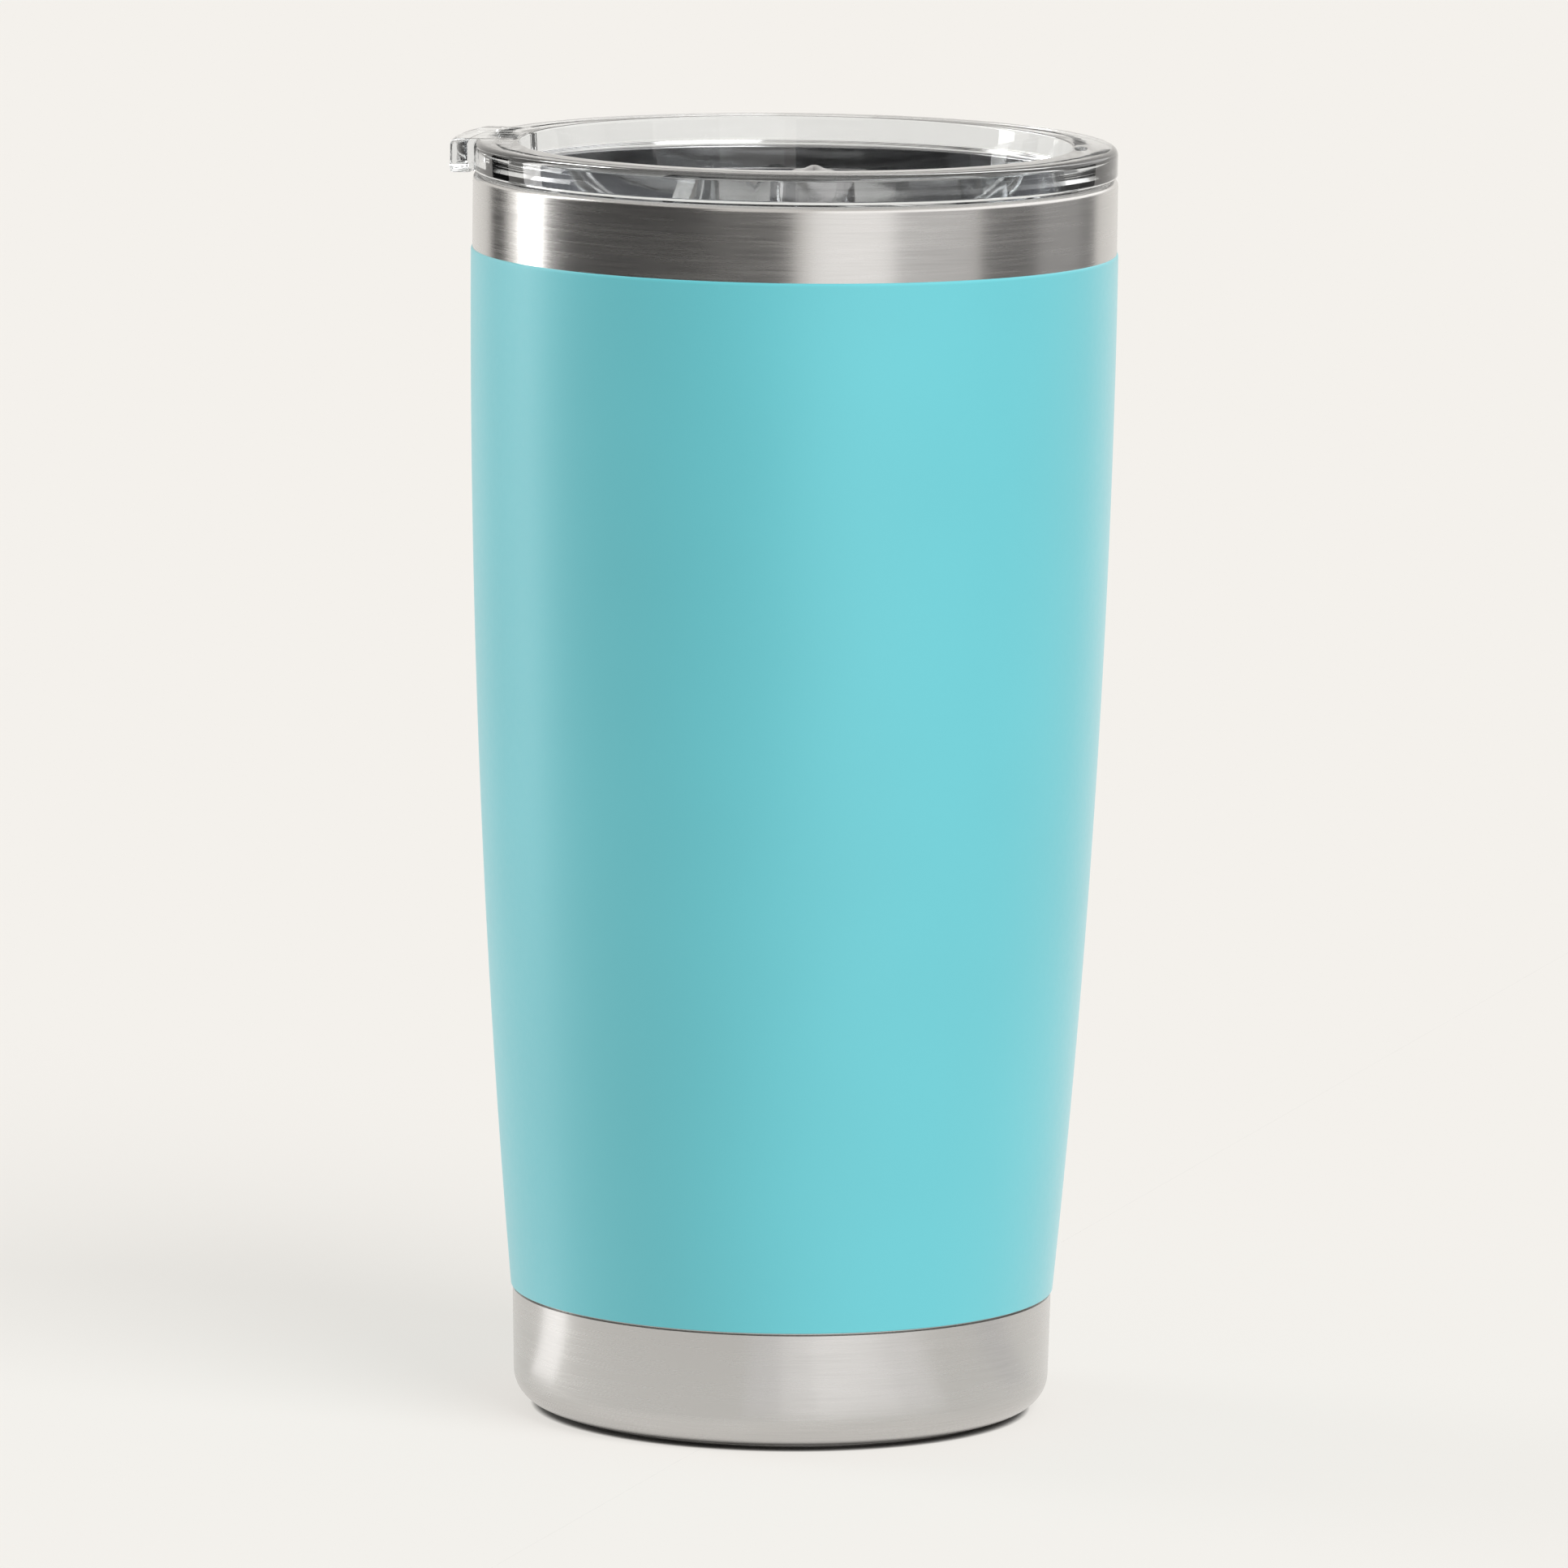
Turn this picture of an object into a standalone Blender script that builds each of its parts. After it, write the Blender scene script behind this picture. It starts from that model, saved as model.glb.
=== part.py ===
"""Insulated tumbler with a clear push-in lid and a slide closure.

Double-wall stainless vessel, powder coat sleeve, welded base with its vacuum port,
and a moulded lid with gasket and slider. Metres, +Z up. The origin is on the vessel's
axis in the plane of the foot. +X points to the drinking opening, -X to the lid's tab.
The slider is modelled open, its grip beside the middle of the lid.
"""
import math

import bmesh
import bpy
from mathutils import Matrix, Vector

SEGMENTS = 48
CONTACT_GAP = 0.0003
SKIN_GAP = 0.00005

# Vessel: heights above the foot and radii of the bare steel
RIM_HEIGHT = 0.1714
RIM_RADIUS = 0.04425
RIM_ROUNDING = 0.0007
SEAM_RADIUS = 0.0427
WALL = 0.0006
TAPER_START = 0.1666
TAPER_ARC_RADIUS = 1.6363
TAPER_RINGS = 7
COAT_TOP = 0.1613
COAT_BOTTOM = 0.0169
COAT_THICKNESS = 0.00015
HEEL_RADIUS = 0.0371
HEEL_HEIGHT = 0.0050
HEEL_ROUNDING = 0.0044

# Inner cup
BORE_RADIUS = 0.0418
BORE_DEPTH = 0.0126
LEDGE_HEIGHT = 0.0024
CUP_INSET = 0.0050
CUP_FLOOR = 0.0100
CUP_ROUNDING = 0.0080

# Welded base
PAN_RADIUS = HEEL_RADIUS - HEEL_ROUNDING - CONTACT_GAP
FOOT_WIDTH = 0.0010
FOOT_ROUNDING = 0.0004
PAN_RECESS = 0.0014
DIMPLE_RADIUS = 0.0060
DIMPLE_DEPTH = 0.0018
PORT_RADIUS = 0.0012
DISC_RADIUS = 0.0150
DISC_UNDERSIDE = 0.0005
DISC_THICKNESS = 0.0006
PLUG_RADIUS = 0.0030
PLUG_HEIGHT = 0.0012
GETTER_X = 0.0150
GETTER_RADIUS = 0.0033
GETTER_HEIGHT = 0.0018
CLIP_WIDTH = 0.0050
CLIP_SHEET = 0.0004
CLIP_FOOT = 0.0030

# Lid body
LID_TOP = 0.1759
FLANGE_UNDERSIDE = 0.1718
FLANGE_RADIUS = 0.0442
FLANGE_ROUNDING = 0.0010
WELL_RADIUS = 0.0380
WELL_FLOOR_RADIUS = 0.0372
WELL_FLOOR = 0.1654
WELL_ROUNDING = 0.0008
FLOOR_THICKNESS = 0.0020
PLUG_WALL_RADIUS = 0.0408
PLUG_BOTTOM = 0.1612
SKIRT_INNER_RADIUS = 0.0382
GROOVE_RADIUS = 0.0394
GROOVE_BOTTOM = 0.1646
GROOVE_TOP = 0.1684

# Lid tab, opposite the drinking opening
TAB_REACH = 0.0033
TAB_DROP = 0.0006
TAB_LIP_CLEARANCE = 0.0005
TAB_HALF_ANGLE = math.radians(11.4)
TAB_SIDE_ANGLE = math.radians(1.6)
TAB_STEPS = 5

# Drinking opening and vent in the lid's floor
SLOT_RADIUS = 0.0305
SLOT_HALF_WIDTH = 0.0030
SLOT_HALF_ANGLE = math.radians(16.0)
VENT_X = -0.0260
VENT_RADIUS = 0.0012

# Slider, its rails and its seal
SLIDER_TRAVEL = 0.0120
SLIDER_FRONT_RADIUS = 0.0352
SLIDER_REAR_X = -0.0130
SLIDER_HALF_WIDTH = 0.0128
SLIDER_UNDERSIDE = 0.1664
SLIDER_THICKNESS = 0.0010
SLIDER_EDGE_BEVEL = 0.0003
GRIP_X = 0.0024
GRIP_TOP = 0.1729
GRIP_RADIUS = 0.0058
GRIP_HALF_LENGTH = 0.0085
RAIL_THICKNESS = 0.0016
RAIL_LIP = 0.0012
RAIL_LIP_THICKNESS = 0.0008
RAIL_FRONT_X = 0.0280
RAIL_SINK = 0.0006
SEAL_THICKNESS = 0.0005
SEAL_SIDE_INSET = 0.0007
SEAL_LENGTH = 0.0105

# Gasket
GASKET_WALL = 0.0008
GASKET_FIN_RADIUS = BORE_RADIUS - CONTACT_GAP
GASKET_FIN_THICKNESS = 0.0005
GASKET_FIN_RISE = 0.0003
GASKET_FINS = 2

SMOOTH_ANGLE = math.radians(35.0)


def remove_objects():
    """Empty the scene."""
    for old in list(bpy.data.objects):
        bpy.data.objects.remove(old, do_unlink=True)


def make_material(name, colour, roughness, metallic=0.0, transmission=0.0):
    """A Principled material with the given base values."""
    material = bpy.data.materials.new(name)
    material.use_nodes = True
    shader = material.node_tree.nodes["Principled BSDF"]
    shader.inputs["Base Color"].default_value = (*colour, 1.0)
    shader.inputs["Roughness"].default_value = roughness
    shader.inputs["Metallic"].default_value = metallic
    shader.inputs["Transmission Weight"].default_value = transmission
    return material


def finish_object(name, bm, material):
    """Turn a bmesh into a named, smooth-shaded object with outward faces."""
    bmesh.ops.remove_doubles(bm, verts=bm.verts, dist=1e-7)
    bmesh.ops.recalc_face_normals(bm, faces=bm.faces)
    mesh = bpy.data.meshes.new(name)
    bm.to_mesh(mesh)
    bm.free()
    mesh.shade_smooth()
    mesh.set_sharp_from_angle(angle=SMOOTH_ANGLE)
    mesh.materials.append(material)
    piece = bpy.data.objects.new(name, mesh)
    bpy.context.collection.objects.link(piece)
    return piece


def arc(centre, radius, start_degrees, end_degrees, steps):
    """Points on an arc, both ends included."""
    points = []
    for step in range(steps + 1):
        turn = math.radians(start_degrees + (end_degrees - start_degrees) * step / steps)
        points.append((centre[0] + radius * math.cos(turn), centre[1] + radius * math.sin(turn)))
    return points


def turned(name, outline, material):
    """Spin a closed outline of (radius, height) points about the Z axis."""
    bm = bmesh.new()
    ring = [bm.verts.new((radius, 0.0, height)) for radius, height in outline]
    edges = []
    for index in range(len(ring)):
        if outline[index - 1][0] > 0.0 or outline[index][0] > 0.0:
            edges.append(bm.edges.new((ring[index - 1], ring[index])))
    bmesh.ops.spin(
        bm,
        geom=ring + edges,
        cent=(0.0, 0.0, 0.0),
        axis=(0.0, 0.0, 1.0),
        angle=math.tau,
        steps=SEGMENTS,
        use_merge=True,
    )
    return finish_object(name, bm, material)


def prism(outline, low, high):
    """A bmesh prism over a closed outline of (x, y) points."""
    bm = bmesh.new()
    base = bm.faces.new([bm.verts.new((x, y, low)) for x, y in outline])
    grown = bmesh.ops.extrude_face_region(bm, geom=[base])
    top = [item for item in grown["geom"] if isinstance(item, bmesh.types.BMVert)]
    bmesh.ops.translate(bm, verts=top, vec=Vector((0.0, 0.0, high - low)))
    bmesh.ops.recalc_face_normals(bm, faces=bm.faces)
    return bm


def helper_object(name, bm):
    """A hidden wire object that a Boolean modifier reads."""
    mesh = bpy.data.meshes.new(name)
    bm.to_mesh(mesh)
    bm.free()
    helper = bpy.data.objects.new(name, mesh)
    bpy.context.collection.objects.link(helper)
    helper.hide_render = True
    helper.display_type = "WIRE"
    return helper


def add_boolean(piece, helper, operation):
    """Join or cut a piece with a helper object."""
    modifier = piece.modifiers.new(helper.name, "BOOLEAN")
    modifier.object = helper
    modifier.operation = operation
    modifier.solver = "EXACT"


def coat_radius(height):
    """Outer radius of the coated wall: one long arc that starts upright near the rim."""
    drop = max(TAPER_START - height, 0.0)
    sagitta = TAPER_ARC_RADIUS - math.sqrt(TAPER_ARC_RADIUS ** 2 - drop ** 2)
    return RIM_RADIUS + SKIN_GAP + COAT_THICKNESS - sagitta


def steel_radius(height):
    """Outer radius of the steel under the coat."""
    return coat_radius(height) - COAT_THICKNESS - SKIN_GAP


def cup_radius(height):
    """Inner radius of the cup below its ledge."""
    return steel_radius(height) - CUP_INSET


def heights(top, bottom, count):
    """Evenly spaced heights from top to bottom."""
    return [top + (bottom - top) * step / count for step in range(count + 1)]


def outer_shell(material):
    """Tapered outer wall with a rolled lip and a rounded heel, open at both ends."""
    taper = heights(COAT_TOP, COAT_BOTTOM, TAPER_RINGS)
    lip_centre = (RIM_RADIUS - RIM_ROUNDING, RIM_HEIGHT - RIM_ROUNDING)
    heel_centre = (HEEL_RADIUS - HEEL_ROUNDING, HEEL_HEIGHT)
    outline = [(SEAM_RADIUS, RIM_HEIGHT)]
    outline += arc(lip_centre, RIM_ROUNDING, 90, 0, 3)
    outline += [(steel_radius(height), height) for height in taper]
    outline += arc(heel_centre, HEEL_ROUNDING, 0, -90, 5)
    outline += arc(heel_centre, HEEL_ROUNDING - WALL, -90, 0, 5)
    outline += [(steel_radius(height) - WALL, height) for height in reversed(taper)]
    outline += arc(lip_centre, RIM_ROUNDING - WALL, 0, 90, 2)
    outline.append((SEAM_RADIUS, RIM_HEIGHT - WALL))
    return turned("outer_shell", outline, material)


def powder_coat(material):
    """Coloured coat between the two bare bands."""
    taper = heights(COAT_TOP, COAT_BOTTOM, TAPER_RINGS)
    outline = [(coat_radius(height), height) for height in taper]
    outline += [(coat_radius(height) - COAT_THICKNESS, height) for height in reversed(taper)]
    return turned("powder_coat", outline, material)


def inner_liner(material):
    """Drawn inner cup: straight bore for the lid, a ledge, a tapered wall and a rounded floor."""
    bore_end = RIM_HEIGHT - BORE_DEPTH
    ledge_end = bore_end - LEDGE_HEIGHT
    corner_height = CUP_FLOOR + CUP_ROUNDING
    wall = heights(ledge_end, corner_height, 6)
    corner = (cup_radius(corner_height) - CUP_ROUNDING, corner_height)
    edge_radius = SEAM_RADIUS - 2.0 * SKIN_GAP
    outline = [(edge_radius, RIM_HEIGHT)]
    outline += arc((BORE_RADIUS + WALL / 2, RIM_HEIGHT - WALL / 2), WALL / 2, 90, 180, 2)
    outline.append((BORE_RADIUS, bore_end))
    outline += [(cup_radius(height), height) for height in wall]
    outline += arc(corner, CUP_ROUNDING, 0, -90, 5)[1:]
    outline.append((0.0, CUP_FLOOR))
    outline.append((0.0, CUP_FLOOR - WALL))
    outline += arc(corner, CUP_ROUNDING + WALL, -90, 0, 5)
    outline += [(cup_radius(height) + WALL, height) for height in reversed(wall[:-1])]
    outline.append((BORE_RADIUS + WALL, bore_end))
    outline.append((BORE_RADIUS + WALL, RIM_HEIGHT - 2.0 * WALL))
    outline.append((edge_radius, RIM_HEIGHT - 1.5 * WALL))
    return turned("inner_liner", outline, material)


def base_pan(material):
    """Pressed base: a foot bead around a shallow recess, with a dimple around the vacuum port."""
    foot_inner = PAN_RADIUS - FOOT_WIDTH - 2.0 * FOOT_ROUNDING
    recess_radius = foot_inner - PAN_RECESS
    dimple_height = PAN_RECESS + DIMPLE_DEPTH
    outline = [(PAN_RADIUS, PAN_RECESS + WALL)]
    outline += arc((PAN_RADIUS - FOOT_ROUNDING, FOOT_ROUNDING), FOOT_ROUNDING, 0, -90, 2)
    outline += arc((foot_inner + FOOT_ROUNDING, FOOT_ROUNDING), FOOT_ROUNDING, -90, -150, 2)
    outline.append((recess_radius, PAN_RECESS))
    outline.append((DIMPLE_RADIUS, PAN_RECESS))
    outline.append((DIMPLE_RADIUS - DIMPLE_DEPTH, dimple_height))
    outline.append((PORT_RADIUS, dimple_height))
    outline.append((PORT_RADIUS, dimple_height + WALL))
    outline.append((DIMPLE_RADIUS - DIMPLE_DEPTH + WALL / 2, dimple_height + WALL))
    outline.append((DIMPLE_RADIUS + WALL / 2, PAN_RECESS + WALL))
    return turned("base_pan", outline, material)


def base_cover_disc(material):
    """Flat disc that hides the vacuum port."""
    top = DISC_UNDERSIDE + DISC_THICKNESS
    outline = [
        (DISC_RADIUS, top),
        (DISC_RADIUS, DISC_UNDERSIDE),
        (0.0, DISC_UNDERSIDE),
        (0.0, top),
    ]
    return turned("base_cover_disc", outline, material)


def vacuum_plug(material):
    """Solder bead in the dimple, under the port."""
    top = PAN_RECESS + DIMPLE_DEPTH - CONTACT_GAP
    quarter = arc((0.0, 0.0), 1.0, 0, -90, 4)[:-1]
    outline = [(PLUG_RADIUS * across, top + PLUG_HEIGHT * down) for across, down in quarter]
    outline.append((0.0, top - PLUG_HEIGHT))
    outline.append((0.0, top))
    return turned("vacuum_plug", outline, material)


def getter_pellet(material):
    """Gas-absorbing pellet on the base, inside the vacuum."""
    low = PAN_RECESS + WALL + CONTACT_GAP
    bm = bmesh.new()
    bmesh.ops.create_cone(
        bm,
        cap_ends=True,
        segments=24,
        radius1=GETTER_RADIUS,
        radius2=GETTER_RADIUS,
        depth=GETTER_HEIGHT,
        matrix=Matrix.Translation((GETTER_X, 0.0, low + GETTER_HEIGHT / 2)),
    )
    return finish_object("getter_pellet", bm, material)


def getter_clip(material):
    """Bent strap that holds the pellet down, with a welding foot on each side."""
    low = PAN_RECESS + WALL + CONTACT_GAP
    high = low + GETTER_HEIGHT + CONTACT_GAP
    inner = GETTER_RADIUS + CONTACT_GAP
    half = [
        (inner + CLIP_FOOT, low),
        (inner + CLIP_FOOT, low + CLIP_SHEET),
        (inner + CLIP_SHEET, low + CLIP_SHEET),
        (inner + CLIP_SHEET, high + CLIP_SHEET),
    ]
    under = [(inner, high), (inner, low)]
    outline = half + [(-x, z) for x, z in reversed(half)] + [(-x, z) for x, z in reversed(under)] + under
    bm = prism(outline, -CLIP_WIDTH / 2, CLIP_WIDTH / 2)
    upright = Matrix.Rotation(math.radians(90.0), 4, "X")
    bmesh.ops.transform(bm, matrix=upright, verts=bm.verts)
    bmesh.ops.translate(bm, verts=bm.verts, vec=Vector((GETTER_X, 0.0, 0.0)))
    return finish_object("getter_clip", bm, material)


def tab_share(angle):
    """How far the flange has grown into the tab at an angle: 0 on the plain rim, 1 on the tab."""
    off_centre = abs(math.remainder(angle - math.pi, math.tau))
    share = (TAB_HALF_ANGLE + TAB_SIDE_ANGLE - off_centre) / TAB_SIDE_ANGLE
    share = min(max(share, 0.0), 1.0)
    return share * share * (3.0 - 2.0 * share)


def lid_angles():
    """Section angles: even steps all round, and closer steps down the tab's two sides."""
    angles = [math.tau * step / SEGMENTS for step in range(SEGMENTS)]
    near = TAB_HALF_ANGLE + 1.5 * TAB_SIDE_ANGLE
    angles = [angle for angle in angles if abs(angle - math.pi) < TAB_HALF_ANGLE * 0.9
              or abs(angle - math.pi) > near]
    for step in range(TAB_STEPS):
        offset = TAB_HALF_ANGLE + TAB_SIDE_ANGLE * step / (TAB_STEPS - 1)
        angles += [math.pi - offset, math.pi + offset]
    return sorted(angles)


def lid_section(angle):
    """Closed outline of the lid body at one angle, ending on the axis below and above."""
    share = tab_share(angle)
    outer = FLANGE_RADIUS + TAB_REACH * share
    bottom = FLANGE_UNDERSIDE - TAB_DROP * share
    chamfer = FLANGE_ROUNDING / 2
    clear = RIM_RADIUS + TAB_LIP_CLEARANCE
    plain = FLANGE_RADIUS - 2.0 * chamfer
    step_outer = plain + (clear + TAB_DROP / 2 - plain) * share
    step_inner = plain - chamfer + (clear - plain + chamfer) * share
    under = WELL_FLOOR - FLOOR_THICKNESS
    outline = arc((WELL_RADIUS + chamfer, LID_TOP - chamfer), chamfer, 180, 90, 2)
    outline += arc((outer - FLANGE_ROUNDING, LID_TOP - FLANGE_ROUNDING), FLANGE_ROUNDING, 90, 0, 3)
    outline += [
        (outer, bottom + chamfer),
        (outer - chamfer, bottom),
        (step_outer, bottom),
        (step_inner, FLANGE_UNDERSIDE),
        (PLUG_WALL_RADIUS, FLANGE_UNDERSIDE),
        (PLUG_WALL_RADIUS, GROOVE_TOP),
        (GROOVE_RADIUS, GROOVE_TOP),
        (GROOVE_RADIUS, GROOVE_BOTTOM),
        (PLUG_WALL_RADIUS, GROOVE_BOTTOM),
        (PLUG_WALL_RADIUS, PLUG_BOTTOM + chamfer),
        (PLUG_WALL_RADIUS - chamfer, PLUG_BOTTOM),
        (SKIRT_INNER_RADIUS, PLUG_BOTTOM),
        (SKIRT_INNER_RADIUS - chamfer, under),
    ]
    outline.append((0.0, under))
    outline.append((0.0, WELL_FLOOR))
    well_corner = (WELL_FLOOR_RADIUS - WELL_ROUNDING, WELL_FLOOR + WELL_ROUNDING)
    outline += arc(well_corner, WELL_ROUNDING, -90, 0, 3)
    return outline


def outline_on_axis(start, end):
    """Whether a stretch of the outline runs along the Z axis, where it makes no face."""
    return max(start.co.xy.length, end.co.xy.length) < 1e-9


def lid_shell_mesh():
    """Skin the lid's sections all the way round."""
    bm = bmesh.new()
    rings = []
    for angle in lid_angles():
        direction = Vector((math.cos(angle), math.sin(angle), 0.0))
        ring = []
        for radius, height in lid_section(angle):
            ring.append(bm.verts.new(direction * radius + Vector((0.0, 0.0, height))))
        rings.append(ring)
    for index, ring in enumerate(rings):
        before = rings[index - 1]
        for point in range(len(ring)):
            if outline_on_axis(ring[point - 1], ring[point]):
                continue
            bm.faces.new((before[point - 1], before[point], ring[point], ring[point - 1]))
    bmesh.ops.remove_doubles(bm, verts=bm.verts, dist=1e-7)
    return bm


def slot_cutter():
    """Bean-shaped cutter along an arc, for the drinking opening."""
    turn = math.degrees(SLOT_HALF_ANGLE)
    outline = arc((0.0, 0.0), SLOT_RADIUS + SLOT_HALF_WIDTH, -turn, turn, 6)
    end = (SLOT_RADIUS * math.cos(SLOT_HALF_ANGLE), SLOT_RADIUS * math.sin(SLOT_HALF_ANGLE))
    outline += arc(end, SLOT_HALF_WIDTH, turn, turn + 180, 6)[1:-1]
    outline += arc((0.0, 0.0), SLOT_RADIUS - SLOT_HALF_WIDTH, turn, -turn, 6)
    outline += arc((end[0], -end[1]), SLOT_HALF_WIDTH, 180 - turn, 360 - turn, 6)[1:-1]
    reach = FLOOR_THICKNESS
    return helper_object("drink_slot_cutter", prism(outline, WELL_FLOOR - 2 * reach, WELL_FLOOR + reach))


def vent_cutter():
    """Small round cutter for the vent."""
    bm = bmesh.new()
    bmesh.ops.create_cone(
        bm,
        cap_ends=True,
        segments=16,
        radius1=VENT_RADIUS,
        radius2=VENT_RADIUS,
        depth=3.0 * FLOOR_THICKNESS,
        matrix=Matrix.Translation((VENT_X, 0.0, WELL_FLOOR - FLOOR_THICKNESS / 2)),
    )
    return helper_object("vent_cutter", bm)


def rail_helper():
    """Hooked rail on both sides and behind the slider, joined to the lid's floor."""
    side = SLIDER_HALF_WIDTH + CONTACT_GAP
    rear = SLIDER_REAR_X - 2.0 * CONTACT_GAP
    low = WELL_FLOOR - RAIL_SINK
    lip_low = SLIDER_UNDERSIDE + SLIDER_THICKNESS + CONTACT_GAP
    lip_high = lip_low + RAIL_LIP_THICKNESS
    section = [
        (0.0, low),
        (RAIL_THICKNESS, low),
        (RAIL_THICKNESS, lip_high),
        (-RAIL_LIP, lip_high),
        (-RAIL_LIP, lip_low),
        (0.0, lip_low),
    ]
    bm = bmesh.new()
    corners = [[], [], [], []]
    for offset, height in section:
        route = [
            (RAIL_FRONT_X, -side - offset),
            (rear - offset, -side - offset),
            (rear - offset, side + offset),
            (RAIL_FRONT_X, side + offset),
        ]
        for corner, (x, y) in zip(corners, route):
            corner.append(bm.verts.new((x, y, height)))
    for before, after in zip(corners, corners[1:]):
        for index in range(len(section)):
            bm.faces.new((before[index - 1], before[index], after[index], after[index - 1]))
    bm.faces.new(corners[0])
    bm.faces.new(corners[-1])
    bmesh.ops.recalc_face_normals(bm, faces=bm.faces)
    return helper_object("rail_helper", bm)


def lid_body(material):
    """Clear moulded lid: flange with tab, well, plug wall with gasket groove, slot, vent and rails."""
    body = finish_object("lid_body", lid_shell_mesh(), material)
    add_boolean(body, rail_helper(), "UNION")
    add_boolean(body, slot_cutter(), "DIFFERENCE")
    add_boolean(body, vent_cutter(), "DIFFERENCE")
    return body


def lid_gasket(material):
    """Silicone ring in the lid's groove, with fins that wipe the bore."""
    inner = GROOVE_RADIUS + CONTACT_GAP
    outer = inner + GASKET_WALL
    low = GROOVE_BOTTOM + CONTACT_GAP
    high = GROOVE_TOP - CONTACT_GAP
    pitch = (high - low) / GASKET_FINS
    outline = [(inner, high), (inner, low)]
    for fin in range(GASKET_FINS):
        start = low + pitch * (fin + 0.5) - GASKET_FIN_THICKNESS / 2
        end = start + GASKET_FIN_THICKNESS
        if fin == 0:
            outline.append((outer, low))
        outline.append((outer, start))
        outline.append((GASKET_FIN_RADIUS, start + GASKET_FIN_RISE))
        outline.append((GASKET_FIN_RADIUS, end))
        outline.append((outer, end))
    outline.append((outer, high))
    return turned("lid_gasket", outline, material)


def slider_outline(front_radius, half_width, rear_x):
    """Plan of the slider in its open place: straight sides and a front that follows the well."""
    turn = math.degrees(math.asin(half_width / front_radius))
    outline = arc((-SLIDER_TRAVEL, 0.0), front_radius, -turn, turn, 8)
    outline += [(rear_x, half_width), (rear_x, -half_width)]
    return outline


def grip_helper():
    """Rounded thumb grip, a half ellipsoid whose foot is sunk into the slider plate."""
    bm = bmesh.new()
    bmesh.ops.create_uvsphere(bm, u_segments=20, v_segments=12, radius=1.0)
    stretch = Matrix.Diagonal((GRIP_RADIUS, GRIP_HALF_LENGTH, GRIP_RADIUS, 1.0))
    place = Matrix.Translation((GRIP_X, 0.0, GRIP_TOP - GRIP_RADIUS))
    bmesh.ops.transform(bm, matrix=place @ stretch, verts=bm.verts)
    cut_height = SLIDER_UNDERSIDE + SLIDER_THICKNESS / 2
    bmesh.ops.bisect_plane(
        bm,
        geom=bm.verts[:] + bm.edges[:] + bm.faces[:],
        plane_co=(0.0, 0.0, cut_height),
        plane_no=(0.0, 0.0, 1.0),
        clear_inner=True,
    )
    rim = [edge for edge in bm.edges if edge.is_boundary]
    bmesh.ops.contextual_create(bm, geom=rim)
    bmesh.ops.recalc_face_normals(bm, faces=bm.faces)
    return helper_object("grip_helper", bm)


def lid_slider(material):
    """Slider plate with its thumb grip."""
    outline = slider_outline(SLIDER_FRONT_RADIUS, SLIDER_HALF_WIDTH, SLIDER_REAR_X)
    bm = prism(outline, SLIDER_UNDERSIDE, SLIDER_UNDERSIDE + SLIDER_THICKNESS)
    level = [edge for edge in bm.edges if abs(edge.verts[0].co.z - edge.verts[1].co.z) < 1e-6]
    bmesh.ops.bevel(
        bm,
        geom=level,
        offset=SLIDER_EDGE_BEVEL,
        segments=1,
        affect="EDGES",
    )
    plate = finish_object("lid_slider", bm, material)
    add_boolean(plate, grip_helper(), "UNION")
    return plate


def slider_seal(material):
    """Silicone pad under the front of the slider, which covers the drinking opening when shut."""
    front_radius = SLIDER_FRONT_RADIUS - SEAL_SIDE_INSET
    half_width = SLIDER_HALF_WIDTH - SEAL_SIDE_INSET
    rear_x = front_radius - SLIDER_TRAVEL - SEAL_LENGTH
    high = SLIDER_UNDERSIDE - CONTACT_GAP
    outline = slider_outline(front_radius, half_width, rear_x)
    bm = prism(outline, high - SEAL_THICKNESS, high)
    return finish_object("slider_seal", bm, material)


def build():
    """Make every piece of the tumbler."""
    remove_objects()
    bare_steel = make_material("bare_steel", (0.62, 0.61, 0.60), 0.28, metallic=1.0)
    coat = make_material("teal_coat", (0.11, 0.47, 0.54), 0.45)
    inner_steel = make_material("inner_steel", (0.42, 0.41, 0.41), 0.10, metallic=1.0)
    pan_steel = make_material("base_steel", (0.55, 0.54, 0.53), 0.35, metallic=1.0)
    disc_steel = make_material("disc_steel", (0.60, 0.59, 0.58), 0.30, metallic=1.0)
    solder = make_material("solder", (0.33, 0.33, 0.35), 0.45, metallic=0.6)
    getter = make_material("getter", (0.20, 0.20, 0.21), 0.80)
    strap = make_material("strap_steel", (0.50, 0.50, 0.51), 0.35, metallic=1.0)
    clear = make_material("clear_lid", (0.90, 0.92, 0.93), 0.05, transmission=1.0)
    slider_grey = make_material("smoked_slider", (0.45, 0.45, 0.46), 0.08, transmission=1.0)
    silicone = make_material("silicone", (0.09, 0.09, 0.10), 0.55)
    seal = make_material("seal_silicone", (0.78, 0.79, 0.80), 0.60, transmission=0.3)
    outer_shell(bare_steel)
    powder_coat(coat)
    inner_liner(inner_steel)
    base_pan(pan_steel)
    base_cover_disc(disc_steel)
    vacuum_plug(solder)
    getter_pellet(getter)
    getter_clip(strap)
    lid_body(clear)
    lid_gasket(silicone)
    lid_slider(slider_grey)
    slider_seal(seal)


build()
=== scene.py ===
"""Looks for the insulated tumbler: smooth meshes, materials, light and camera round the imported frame."""
import math

import bmesh
import bpy
from mathutils import Matrix, Quaternion, Vector


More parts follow.
